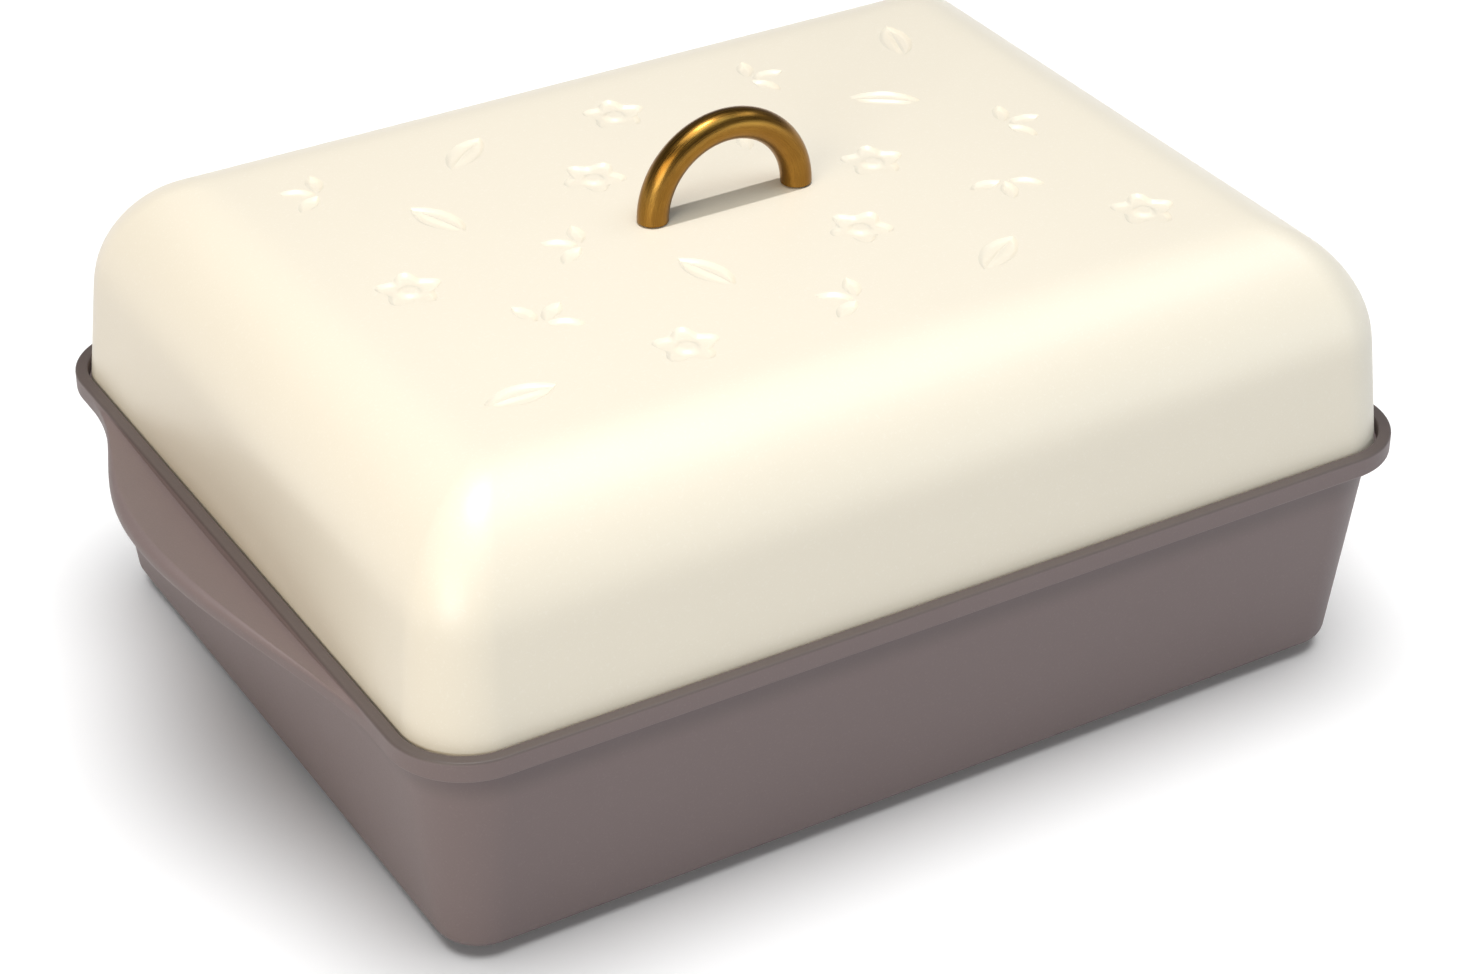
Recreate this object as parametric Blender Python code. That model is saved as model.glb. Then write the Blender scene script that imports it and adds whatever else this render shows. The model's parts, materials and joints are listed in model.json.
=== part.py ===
"""A baking dome: a deep baking pan with two lugs, and a domed lid with a half-ring handle.

Metres, +Z up. The origin is the centre of the pan's flat base, the long side runs along X.
"""
import math

import bmesh
import bpy
from mathutils import Vector

# Pan
RIM_LENGTH = 0.3600            # over the rim, without the lugs
RIM_WIDTH = 0.2794
RIM_CORNER_RADIUS = 0.0257
RIM_HEIGHT = 0.0851            # top of the lip above the table
RIM_BAND = 0.0070              # height of the rim's outer face
RIM_EDGE_RADIUS = 0.0009
RIM_ROOT_RADIUS = 0.0024       # of the fillet between the rim's underside and the wall
LIP_WIDTH = 0.0042             # flat top of the lip that the lid stands inside
LIP_DEPTH = 0.0048             # from the lip's top down to the lid's seat
LIP_EDGE_RADIUS = 0.0006
WALL_SETBACK = 0.0047          # from the rim's face in to the wall under it
WALL_CORNER_EASE = 0.0049      # how much rounder the wall's corner is than the rim's, moved in
WALL_THICKNESS = 0.0042
BASE_TAPER = 0.0093            # how far the wall draws in from the rim to its lowest edge
BASE_CORNER_RADIUS = 0.0148
BASE_EDGE_RADIUS = 0.0044
FOOT_HEIGHT = 0.0040           # of the flat pad that the pan stands on, under the wall's lowest edge
FOOT_INSET = 0.0090
FOOT_EDGE_RADIUS = 0.0008
FLOOR_THICKNESS = 0.0065       # with the pad
FLOOR_FILLET = 0.0085          # inside, between floor and wall
TIGHTEST_CORNER = 0.0012       # seen from above, inside the pan

# Lugs, one on each short end
LUG_LENGTH = 0.2116            # along the end of the pan
LUG_REACH = 0.0268             # out from the rim's face
LUG_RISE = 0.0137              # of the outer edge over the crease at the lip
LUG_HOLLOW = 1.2               # 1 is a straight top side, more is a hollow one
LUG_CREASE_DEPTH = 0.0020      # from the lip's top down to that crease
LUG_CREASE_OUT = 0.0007
LUG_EDGE_THICKNESS = 0.0058
LUG_EDGE_RADIUS = 0.0026
LUG_EDGE_LEAN = math.radians(35)  # slope of the top side where the rounded edge takes over
LUG_ROOT_DROP = 0.0180         # below the rim, where the underside has run into the wall
LUG_ROW_SPACING = 0.0002       # of the lug's rows where they run together along the rim

# Dome lid
LID_GAP = 0.0004               # between the lid's foot and the lip
LID_CORNER_EASE = 0.0012       # extra corner radius, so the gap widens at the corners
LID_THICKNESS = 0.0035
LID_FOOT_RADIUS = 0.0007
LID_WALL_HEIGHT = 0.0400       # from the seat to the start of the shoulder
LID_DRAFT = math.radians(5.64)
SHOULDER_INSET = 0.0353
SHOULDER_HEIGHT = 0.0354
SHOULDER_FULLNESS = 1.79       # 2 is a true ellipse, less is leaner
LID_CORNER_TIGHTENING = 0.5    # corner radius lost for each unit of inset
LID_TOP_CORNER_RADIUS = 0.0060

# Handle and its fasteners
HANDLE_SPAN = 0.0530           # between the centres of the feet
HANDLE_LEG = 0.0006            # straight stretch below the half ring
ROD_DIAMETER = 0.0103
ROD_FOOT_CHAMFER = 0.0004
SCREW_DIAMETER = 0.0050
SCREW_GRIP = 0.0080            # length of thread inside a foot
SCREW_CHAMFER = 0.0006
SCREW_HEAD_DIAMETER = 0.0098
SCREW_HEAD_HEIGHT = 0.0032
SOCKET_WIDTH = 0.0034          # across the flats
SOCKET_DEPTH = 0.0016
STEEL_WASHER_DIAMETER = 0.0120
STEEL_WASHER_THICKNESS = 0.0010
SEAL_WASHER_DIAMETER = 0.0145
SEAL_WASHER_THICKNESS = 0.0016

CLEARANCE = 0.0003             # between pieces that touch

# How finely curved stretches are cut
CORNER_STEPS = 8
LUG_STEPS = 20
EDGE_STEPS = 3
FLOOR_STEPS = 4
LUG_UNDER_STEPS = 6
SHOULDER_STEPS = 8
ARCH_STEPS = 16
ROD_SIDES = 16
SCREW_SIDES = 20
SMOOTH_ANGLE = math.radians(35)

RIM_UNDERSIDE = RIM_HEIGHT - RIM_BAND
WALL_RUN = RIM_UNDERSIDE - FOOT_HEIGHT
SEAT_HEIGHT = RIM_HEIGHT - LIP_DEPTH
LID_FOOT_HEIGHT = SEAT_HEIGHT + CLEARANCE
LID_FOOT_INSET = LIP_WIDTH + LID_GAP
LID_TOP_HEIGHT = LID_FOOT_HEIGHT + LID_WALL_HEIGHT + SHOULDER_HEIGHT
HOLE_RADIUS = SCREW_DIAMETER / 2 + CLEARANCE
FOOT_PLACES = (("left", -HANDLE_SPAN / 2), ("right", HANDLE_SPAN / 2))


def clear_scene():
    for old in list(bpy.data.objects):
        bpy.data.objects.remove(old, do_unlink=True)


def make_material(name, colour, roughness, metallic):
    material = bpy.data.materials.new(name)
    material.use_nodes = True
    shader = material.node_tree.nodes["Principled BSDF"]
    shader.inputs["Base Color"].default_value = (*colour, 1.0)
    shader.inputs["Roughness"].default_value = roughness
    shader.inputs["Metallic"].default_value = metallic
    material.diffuse_color = (*colour, 1.0)
    return material


def add_object(bm, name, parent=None, place=(0.0, 0.0, 0.0)):
    """Turn a finished bmesh into an object that stands at a place in the world."""
    bmesh.ops.recalc_face_normals(bm, faces=bm.faces)
    mesh = bpy.data.meshes.new(name)
    bm.to_mesh(mesh)
    bm.free()
    made = bpy.data.objects.new(name, mesh)
    bpy.context.scene.collection.objects.link(made)
    made.location = place
    if parent:
        made.parent = parent
        made.location = Vector(place) - parent.location
    return made


def finish(made, material):
    made.data.materials.append(material)
    made.data.shade_smooth()
    made.data.set_sharp_from_angle(angle=SMOOTH_ANGLE)
    return made


def cut(target, cutter):
    """Take the cutter's shape away from the target."""
    cutter.hide_render = True
    cutter.display_type = "WIRE"
    modifier = target.modifiers.new(cutter.name, "BOOLEAN")
    modifier.operation = "DIFFERENCE"
    modifier.solver = "EXACT"
    modifier.object = cutter


def start_ring(bm, points):
    """The first closed ring of vertices and edges that a shape grows from."""
    ring = [bm.verts.new(point) for point in points]
    for first, second in zip(ring, ring[1:] + ring[:1]):
        bm.edges.new((first, second))
    return ring


def extrude_ring(bm, ring, points):
    """Extrude a closed ring of edges and move the new ring to the given points."""
    edges = [bm.edges.get(pair) for pair in zip(ring, ring[1:] + ring[:1])]
    grown = bmesh.ops.extrude_edge_only(bm, edges=edges)["geom"]
    fresh = {item for item in grown if isinstance(item, bmesh.types.BMVert)}
    following = []
    for vertex, point in zip(ring, points):
        neighbours = (edge.other_vert(vertex) for edge in vertex.link_edges)
        twin = next(neighbour for neighbour in neighbours if neighbour in fresh)
        twin.co = point
        following.append(twin)
    return following


def loft(rows):
    """A closed solid through rings of points, with flat faces over its first and last ring."""
    bm = bmesh.new()
    ring = start_ring(bm, rows[0])
    bmesh.ops.contextual_create(bm, geom=ring)
    for points in rows[1:]:
        ring = extrude_ring(bm, ring, points)
    bmesh.ops.contextual_create(bm, geom=ring)
    return bm


def rounded_ring(half_x, half_y, radius, height, end_steps=1):
    """A rounded rectangle, anticlockwise. Each short end is cut into end_steps."""
    run_x = half_x - radius
    run_y = half_y - radius
    arcs = []
    for quarter, (side_x, side_y) in enumerate(((1, 1), (-1, 1), (-1, -1), (1, -1))):
        centre = Vector((side_x * run_x, side_y * run_y, height))
        turns = [math.pi / 2 * (quarter + step / CORNER_STEPS) for step in range(CORNER_STEPS + 1)]
        arcs.append([centre + radius * Vector((math.cos(turn), math.sin(turn), 0.0)) for turn in turns])
    points = []
    for quarter, arc in enumerate(arcs):
        points += arc
        following = arcs[(quarter + 1) % 4][0]
        steps = end_steps if quarter % 2 else 1
        points += [arc[-1].lerp(following, step / steps) for step in range(1, steps)]
    return points


def quarter_round(radius, steps):
    """Pairs of (distance from a wall, distance from a floor) along a fillet, from the wall down."""
    turns = [math.pi / 2 * step / steps for step in range(steps + 1)]
    return [(radius * (1 - math.cos(turn)), radius * (1 - math.sin(turn))) for turn in turns]


def rim_ring(inset, height):
    half_x = RIM_LENGTH / 2 - inset
    half_y = RIM_WIDTH / 2 - inset
    return rounded_ring(half_x, half_y, RIM_CORNER_RADIUS - inset, height, LUG_STEPS)


def wall_inset(height):
    return WALL_SETBACK + BASE_TAPER * (RIM_UNDERSIDE - height) / WALL_RUN


def wall_ring(height, depth=0.0):
    """The pan's outer wall at a height, or a ring that lies a depth inside it."""
    inset = wall_inset(height) + depth
    corner_at_rim = RIM_CORNER_RADIUS - WALL_SETBACK + WALL_CORNER_EASE
    share = (height - FOOT_HEIGHT) / WALL_RUN
    radius = BASE_CORNER_RADIUS + (corner_at_rim - BASE_CORNER_RADIUS) * share - depth
    half_x = RIM_LENGTH / 2 - inset
    half_y = RIM_WIDTH / 2 - inset
    return rounded_ring(half_x, half_y, max(radius, TIGHTEST_CORNER), height, LUG_STEPS)


def lug_share(y):
    """1 in the middle of a lug and 0 at its ends, smooth at both."""
    along = min(abs(y) / (LUG_LENGTH / 2), 1.0)
    return (1 - along * along) ** 2


def with_lugs(ring, out, height):
    """Draw a ring out to the lugs, whose middles lie out beyond the rim's face at a height."""
    drawn = []
    for point in ring:
        side = math.copysign(1.0, point.x)
        middle = Vector((side * (RIM_LENGTH / 2 + out), point.y, height))
        drawn.append(point.lerp(middle, lug_share(point.y)))
    return drawn


def lug_outline():
    """The lug's section at its middle, as (out from the rim's face, height), in three stretches."""
    crease = Vector((LUG_CREASE_OUT, RIM_HEIGHT - LUG_CREASE_DEPTH))
    tip = Vector((LUG_REACH, crease.y + LUG_RISE))
    centre = tip - Vector((LUG_EDGE_RADIUS, LUG_EDGE_RADIUS))
    steps = EDGE_STEPS + 1
    turns = [(math.pi / 2 + LUG_EDGE_LEAN) * step / steps - LUG_EDGE_LEAN for step in range(steps + 1)]
    edge = [centre + LUG_EDGE_RADIUS * Vector((math.sin(turn), math.cos(turn))) for turn in turns]
    width, rise = edge[0] - crease
    upper = []
    for share in (0.0, 0.15, 0.42, 0.72):
        upper.append(crease + Vector((width * share, rise * share ** LUG_HOLLOW)))
    upper += edge
    foot = tip - Vector((0.0, LUG_EDGE_THICKNESS))
    lower = [foot + Vector((-back, up)) for back, up in quarter_round(LUG_EDGE_RADIUS, EDGE_STEPS)]
    root_height = RIM_UNDERSIDE - LUG_ROOT_DROP
    root = Vector((-wall_inset(root_height), root_height))
    bend = Vector((root.x, RIM_UNDERSIDE))
    under = []
    for step in range(1, LUG_UNDER_STEPS + 1):
        share = step / (LUG_UNDER_STEPS + 1)
        under.append(lower[-1].lerp(bend, share).lerp(bend.lerp(root, share), share))
    return upper, lower, under


def rim_rows():
    """Rings down over the outside of the rim, or over the lugs, and under them to the wall."""
    upper, lower, under = lug_outline()
    rows = []
    for back, down in reversed(quarter_round(RIM_EDGE_RADIUS, EDGE_STEPS)[1:]):
        rows.append(rim_ring(back, RIM_HEIGHT - down))
    for number, point in enumerate(upper):
        ring = rim_ring(0.0, RIM_HEIGHT - RIM_EDGE_RADIUS - number * LUG_ROW_SPACING)
        rows.append(with_lugs(ring, point.x, point.y))
    for (back, up), point in zip(quarter_round(RIM_EDGE_RADIUS, EDGE_STEPS), lower):
        rows.append(with_lugs(rim_ring(back, RIM_UNDERSIDE + up), point.x, point.y))
    rounding = reversed(quarter_round(RIM_ROOT_RADIUS, EDGE_STEPS))
    root = [wall_ring(RIM_UNDERSIDE - down, -out) for out, down in rounding]
    steps = LUG_UNDER_STEPS + 1 - len(root)
    fall = LUG_ROOT_DROP - RIM_ROOT_RADIUS
    for step in range(1, steps + 1):
        root.append(wall_ring(RIM_UNDERSIDE - RIM_ROOT_RADIUS - fall * step / steps))
    for ring, point in zip(root, under):
        rows.append(with_lugs(ring, point.x, point.y))
    rows.append(root[-1])
    return rows


def build_pan(material):
    rows = []
    for back, up in reversed(quarter_round(FLOOR_FILLET, FLOOR_STEPS)):
        rows.append(wall_ring(FLOOR_THICKNESS + up, WALL_THICKNESS + back))
    rows.append(wall_ring(SEAT_HEIGHT - LIP_EDGE_RADIUS, WALL_THICKNESS))
    rows.append(wall_ring(SEAT_HEIGHT, WALL_THICKNESS - LIP_EDGE_RADIUS))
    rows.append(rim_ring(LIP_WIDTH, SEAT_HEIGHT))
    rows.append(rim_ring(LIP_WIDTH, RIM_HEIGHT - LIP_EDGE_RADIUS))
    rows.append(rim_ring(LIP_WIDTH - LIP_EDGE_RADIUS, RIM_HEIGHT))
    rows += rim_rows()
    for back, up in quarter_round(BASE_EDGE_RADIUS, EDGE_STEPS):
        rows.append(wall_ring(FOOT_HEIGHT + up, back))
    rows.append(wall_ring(FOOT_HEIGHT, FOOT_INSET))
    rows.append(wall_ring(FOOT_EDGE_RADIUS, FOOT_INSET))
    rows.append(wall_ring(0.0, FOOT_INSET + FOOT_EDGE_RADIUS))
    return finish(add_object(loft(rows), "baking_pan"), material)


def lid_ring(inset, height, depth=0.0):
    """A ring of the dome at a height over its foot. Depth is how far it lies inside the outer skin."""
    foot_corner = RIM_CORNER_RADIUS - LID_FOOT_INSET + LID_CORNER_EASE
    radius = max(foot_corner - LID_CORNER_TIGHTENING * inset, LID_TOP_CORNER_RADIUS) - depth
    half_x = RIM_LENGTH / 2 - LID_FOOT_INSET - inset - depth
    half_y = RIM_WIDTH / 2 - LID_FOOT_INSET - inset - depth
    return rounded_ring(half_x, half_y, radius, LID_FOOT_HEIGHT + height)


def dome_profile():
    """The dome's outer skin from foot to top, as (inset, height over the foot, slope from upright)."""
    lean = math.tan(LID_DRAFT)
    points = [(LID_FOOT_RADIUS * lean, LID_FOOT_RADIUS, LID_DRAFT)]
    power = 2 / SHOULDER_FULLNESS
    for step in range(SHOULDER_STEPS + 1):
        turn = math.pi / 2 * step / SHOULDER_STEPS
        inward = 1 - abs(math.cos(turn)) ** power
        upward = math.sin(turn) ** power
        extra_lean = lean * SHOULDER_HEIGHT * upward * (1 - upward)
        inset = LID_WALL_HEIGHT * lean + SHOULDER_INSET * inward + extra_lean
        slope = LID_DRAFT + (math.pi / 2 - LID_DRAFT) * step / SHOULDER_STEPS
        points.append((inset, LID_WALL_HEIGHT + SHOULDER_HEIGHT * upward, slope))
    return points


def build_lid(material, parent):
    profile = dome_profile()
    rows = [lid_ring(inset, height) for inset, height, _ in reversed(profile)]
    rows.append(lid_ring(LID_FOOT_RADIUS, 0.0))
    rows.append(lid_ring(0.0, 0.0, LID_THICKNESS - LID_FOOT_RADIUS))
    for inset, height, slope in profile:
        down = LID_THICKNESS * math.sin(slope)
        rows.append(lid_ring(inset, max(height - down, LID_FOOT_RADIUS), LID_THICKNESS * math.cos(slope)))
    lid = finish(add_object(loft(rows), "dome_lid", parent), material)
    bottom = LID_TOP_HEIGHT - 2 * LID_THICKNESS
    cut(lid, screw_drill("lid_hole_cutter", bottom, LID_TOP_HEIGHT + LID_THICKNESS, parent))
    return lid


def screw_drill(name, bottom, top, parent):
    """Two upright cylinders on the screws' axes."""
    bm = bmesh.new()
    for _, x in FOOT_PLACES:
        made = bmesh.ops.create_cone(bm, cap_ends=True, segments=SCREW_SIDES, radius1=HOLE_RADIUS,
                                     radius2=HOLE_RADIUS, depth=top - bottom)
        bmesh.ops.translate(bm, verts=made["verts"], vec=(x, 0.0, (top + bottom) / 2))
    return add_object(bm, name, parent)


def rod_ring(centre, along, radius):
    """A ring round a point of the rod's path, square to the path, which lies in the XZ plane."""
    across = Vector((0.0, 1.0, 0.0))
    outward = along.cross(across)
    turns = [2 * math.pi * step / ROD_SIDES for step in range(ROD_SIDES)]
    return [centre + radius * (math.cos(turn) * outward + math.sin(turn) * across) for turn in turns]


def build_handle(material, parent):
    """A round rod bent into a half ring, whose two feet stand flat on the lid."""
    foot_height = LID_TOP_HEIGHT + CLEARANCE
    upward = Vector((0.0, 0.0, 1.0))
    centre = Vector((0.0, 0.0, foot_height + HANDLE_LEG))
    left, right = (Vector((x, 0.0, foot_height)) for _, x in FOOT_PLACES)
    radius = ROD_DIAMETER / 2
    rows = [rod_ring(left, upward, radius - ROD_FOOT_CHAMFER)]
    rows.append(rod_ring(left + upward * ROD_FOOT_CHAMFER, upward, radius))
    for step in range(ARCH_STEPS + 1):
        turn = math.pi * (1 - step / ARCH_STEPS)
        spoke = Vector((math.cos(turn), 0.0, math.sin(turn)))
        along = Vector((math.sin(turn), 0.0, -math.cos(turn)))
        rows.append(rod_ring(centre + HANDLE_SPAN / 2 * spoke, along, radius))
    rows.append(rod_ring(right + upward * ROD_FOOT_CHAMFER, -upward, radius))
    rows.append(rod_ring(right, -upward, radius - ROD_FOOT_CHAMFER))
    handle = finish(add_object(loft(rows), "lid_handle", parent), material)
    bore_top = foot_height + SCREW_GRIP + CLEARANCE
    cut(handle, screw_drill("handle_bore_cutter", foot_height - ROD_DIAMETER, bore_top, parent))
    return handle


def turned(profile):
    """Spin a profile of (radius, height) once round the Z axis. It closes itself or ends on the axis."""
    bm = bmesh.new()
    vertices = [bm.verts.new((radius, 0.0, height)) for radius, height in profile]
    edges = [bm.edges.new(pair) for pair in zip(vertices, vertices[1:])]
    if profile[0][0] > 0.0:
        edges.append(bm.edges.new((vertices[-1], vertices[0])))
    bmesh.ops.spin(bm, geom=vertices + edges, cent=(0, 0, 0), axis=(0, 0, 1), angle=2 * math.pi,
                   steps=SCREW_SIDES, use_merge=True)
    bmesh.ops.remove_doubles(bm, verts=bm.verts, dist=0.000001)
    return bm


def build_washer(name, diameter, thickness, place, material, parent):
    outline = ((HOLE_RADIUS, 0.0), (diameter / 2, 0.0), (diameter / 2, thickness), (HOLE_RADIUS, thickness))
    return finish(add_object(turned(outline), name, parent, place), material)


def build_screw(name, shank_length, place, material, parent):
    """A domed head below its origin and a shank above it, with a hexagon socket in the head."""
    shank = SCREW_DIAMETER / 2
    head = SCREW_HEAD_DIAMETER / 2
    dome = SCREW_HEAD_HEIGHT / 2
    outline = [(0.0, shank_length), (shank - SCREW_CHAMFER, shank_length)]
    outline += [(shank, shank_length - SCREW_CHAMFER), (shank, 0.0), (head, 0.0)]
    outline += [(head - back, up - SCREW_HEAD_HEIGHT) for back, up in quarter_round(dome, EDGE_STEPS)]
    outline.append((0.0, -SCREW_HEAD_HEIGHT))
    screw = finish(add_object(turned(outline), name, parent, place), material)
    socket = bmesh.new()
    across_corners = SOCKET_WIDTH / math.sqrt(3)
    bmesh.ops.create_cone(socket, cap_ends=True, segments=6, radius1=across_corners,
                          radius2=across_corners, depth=2 * SOCKET_DEPTH)
    below = Vector((0.0, 0.0, SCREW_HEAD_HEIGHT))
    cut(screw, add_object(socket, name + "_socket_cutter", parent, Vector(place) - below))
    return screw


def build_fasteners(steel, silicone, parent):
    """Under the dome's top, going down: a seal washer, a steel washer and the head of a screw."""
    seal = LID_TOP_HEIGHT - LID_THICKNESS - CLEARANCE - SEAL_WASHER_THICKNESS
    washer = seal - CLEARANCE - STEEL_WASHER_THICKNESS
    head = washer - CLEARANCE
    shank_length = LID_TOP_HEIGHT + SCREW_GRIP - head
    for side, x in FOOT_PLACES:
        build_washer("seal_washer_" + side, SEAL_WASHER_DIAMETER, SEAL_WASHER_THICKNESS,
                     (x, 0.0, seal), silicone, parent)
        build_washer("screw_washer_" + side, STEEL_WASHER_DIAMETER, STEEL_WASHER_THICKNESS,
                     (x, 0.0, washer), steel, parent)
        build_screw("handle_screw_" + side, shank_length, (x, 0.0, head), steel, parent)


def main():
    clear_scene()
    taupe = make_material("taupe_coating", (0.172, 0.138, 0.128), 0.50, 0.0)
    cream = make_material("cream_coating", (0.800, 0.740, 0.640), 0.42, 0.0)
    bronze = make_material("brushed_bronze", (0.480, 0.250, 0.055), 0.30, 1.0)
    steel = make_material("stainless_steel", (0.560, 0.560, 0.560), 0.28, 1.0)
    silicone = make_material("seal_silicone", (0.620, 0.570, 0.500), 0.60, 0.0)

    build_pan(taupe)
    lift = bpy.data.objects.new("lid_lift", None)
    lift.location = (0.0, 0.0, LID_FOOT_HEIGHT)
    bpy.context.scene.collection.objects.link(lift)
    build_lid(cream, lift)
    build_handle(bronze, lift)
    build_fasteners(steel, silicone, lift)


main()
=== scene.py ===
import json
import math

import bmesh
import bpy
from mathutils import Matrix, Vector

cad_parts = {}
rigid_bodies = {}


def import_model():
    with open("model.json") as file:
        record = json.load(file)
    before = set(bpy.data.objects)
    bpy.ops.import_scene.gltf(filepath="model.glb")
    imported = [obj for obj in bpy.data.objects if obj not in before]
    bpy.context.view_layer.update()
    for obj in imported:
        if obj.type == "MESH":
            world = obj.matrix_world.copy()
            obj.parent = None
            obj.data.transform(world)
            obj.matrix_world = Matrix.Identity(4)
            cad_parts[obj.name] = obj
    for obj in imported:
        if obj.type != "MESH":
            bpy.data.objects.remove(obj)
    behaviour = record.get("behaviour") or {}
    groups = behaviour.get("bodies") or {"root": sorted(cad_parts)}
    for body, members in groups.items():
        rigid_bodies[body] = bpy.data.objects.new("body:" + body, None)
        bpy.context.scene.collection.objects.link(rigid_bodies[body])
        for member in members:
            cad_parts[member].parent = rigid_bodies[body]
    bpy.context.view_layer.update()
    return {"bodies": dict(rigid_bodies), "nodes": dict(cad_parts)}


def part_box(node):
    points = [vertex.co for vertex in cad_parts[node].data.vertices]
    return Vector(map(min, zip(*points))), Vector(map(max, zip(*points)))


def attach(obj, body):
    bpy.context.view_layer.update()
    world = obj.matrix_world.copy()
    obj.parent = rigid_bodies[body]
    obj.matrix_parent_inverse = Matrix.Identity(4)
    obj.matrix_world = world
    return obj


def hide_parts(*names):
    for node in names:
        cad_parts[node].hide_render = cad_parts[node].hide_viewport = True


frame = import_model()
kept = set(frame["nodes"].values()) | set(frame["bodies"].values())
for old in list(bpy.data.objects):
    if old not in kept:
        bpy.data.objects.remove(old)
print("frame loaded")


# Building with rings of vertices
mergeDistance = 0.000001


def startRing(bm, points):
    ring = bmesh.ops.create_circle(bm, cap_ends=False, segments=len(points), radius=1.0)["verts"]
    for vertex, point in zip(ring, points):
        vertex.co = point
    return ring


def growRing(bm, ring, points):
    edges = [bm.edges.get(pair) for pair in zip(ring, ring[1:] + ring[:1])]
    grown = bmesh.ops.extrude_edge_only(bm, edges=edges)["geom"]
    fresh = {item for item in grown if isinstance(item, bmesh.types.BMVert)}
    following = []
    for vertex, point in zip(ring, points):
        neighbours = (edge.other_vert(vertex) for edge in vertex.link_edges)
        twin = next(neighbour for neighbour in neighbours if neighbour in fresh)
        twin.co = point
        following.append(twin)
    return following


def loftInto(bm, rows):      # a closed shell through rings, flat over its first and last one
    ring = startRing(bm, rows[0])
    bmesh.ops.contextual_create(bm, geom=ring)
    for points in rows[1:]:
        ring = growRing(bm, ring, points)
    bmesh.ops.contextual_create(bm, geom=ring)


def loft(rows):
    bm = bmesh.new()
    loftInto(bm, rows)
    return bm


def roundedRing(halfX, halfY, radius, height, cornerSteps, sideSteps, endSteps):
    centres = [(halfX - radius, halfY - radius), (radius - halfX, halfY - radius),
               (radius - halfX, radius - halfY), (halfX - radius, radius - halfY)]
    arcs = []
    for quarter, (x, y) in enumerate(centres):
        turns = [math.pi / 2 * (quarter + step / cornerSteps) for step in range(cornerSteps + 1)]
        arcs.append([Vector((x + radius * math.cos(turn), y + radius * math.sin(turn), height))
                     for turn in turns])
    points = []
    for quarter, arc in enumerate(arcs):
        points += arc
        following = arcs[(quarter + 1) % 4][0]
        steps = endSteps if quarter % 2 else sideSteps
        points += [arc[-1].lerp(following, step / steps) for step in range(1, steps)]
    return points


def quarterRound(radius, steps):     # (away from the wall, up from the floor), from the wall down
    turns = [math.pi / 2 * step / steps for step in range(steps + 1)]
    return [(radius * (1 - math.cos(turn)), radius * (1 - math.sin(turn))) for turn in turns]


def turned(profile, steps):          # a closed or axis-to-axis profile of (radius, height), spun once round
    bm = bmesh.new()
    vertices = [bm.verts.new((radius, 0.0, height)) for radius, height in profile]
    edges = [bm.edges.new(pair) for pair in zip(vertices, vertices[1:])]
    if profile[0][0] > 0.0:
        edges.append(bm.edges.new((vertices[-1], vertices[0])))
    bmesh.ops.spin(bm, geom=vertices + edges, cent=(0, 0, 0), axis=(0, 0, 1), angle=2 * math.pi,
                   steps=steps, use_merge=True)
    bmesh.ops.remove_doubles(bm, verts=bm.verts, dist=mergeDistance)
    return bm


def addPiece(bm, name, body, slotName, material, *stoodFor, sharpAngle):
    bmesh.ops.recalc_face_normals(bm, faces=bm.faces)
    mesh = bpy.data.meshes.new(name)
    bm.to_mesh(mesh)
    bm.free()
    mesh.shade_smooth()
    mesh.set_sharp_from_angle(angle=math.radians(sharpAngle))
    mesh.materials.append(material)
    piece = bpy.data.objects.new(name, mesh)
    bpy.context.scene.collection.objects.link(piece)
    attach(piece, body)
    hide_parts(*stoodFor)
    return piece


def cutAway(piece, cutterBm, sharpAngle):     # cut for good, so no cutter stays in the scene
    bmesh.ops.recalc_face_normals(cutterBm, faces=cutterBm.faces)
    mesh = bpy.data.meshes.new("cutter")
    cutterBm.to_mesh(mesh)
    cutterBm.free()
    cutter = bpy.data.objects.new("cutter", mesh)
    bpy.context.scene.collection.objects.link(cutter)
    modifier = piece.modifiers.new("cut", "BOOLEAN")
    modifier.operation = "DIFFERENCE"
    modifier.solver = "EXACT"
    modifier.object = cutter
    evaluated = piece.evaluated_get(bpy.context.evaluated_depsgraph_get())
    cutMesh = bpy.data.meshes.new_from_object(evaluated)
    cutMesh.shade_smooth()
    cutMesh.set_sharp_from_angle(angle=math.radians(sharpAngle))
    piece.modifiers.remove(modifier)
    piece.data = cutMesh
    bpy.data.objects.remove(cutter)


def evenNormals(piece):              # big flat faces keep their own normals beside small rounded ones
    modifier = piece.modifiers.new("evenNormals", "WEIGHTED_NORMAL")
    modifier.mode = "FACE_AREA"
    modifier.keep_sharp = True


# Node helpers
nodeSpacing = (200, -180)
noiseMiddle = 0.5


def addNode(tree, kind, place=(0, 0), **settings):
    node = tree.nodes.new(kind)
    node.location = (place[0] * nodeSpacing[0], place[1] * nodeSpacing[1])
    for name, value in settings.items():
        setattr(node, name, value)
    return node


def feed(tree, socket, source):      # a number, a colour or another node's output
    if isinstance(source, bpy.types.NodeSocket):
        tree.links.new(source, socket)
    else:
        socket.default_value = source


def addMath(tree, operation, first, second, place=(0, 0), clamp=False):
    node = addNode(tree, "ShaderNodeMath", place, operation=operation, use_clamp=clamp)
    feed(tree, node.inputs[0], first)
    feed(tree, node.inputs[1], second)
    return node.outputs[0]


def addNoise(tree, vector, scale, detail, place=(0, 0), roughness=0.5):
    node = addNode(tree, "ShaderNodeTexNoise", place)
    feed(tree, node.inputs["Vector"], vector)
    feed(tree, node.inputs["Scale"], scale)
    node.inputs["Detail"].default_value = detail
    node.inputs["Roughness"].default_value = roughness
    return node.outputs["Fac"]


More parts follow.
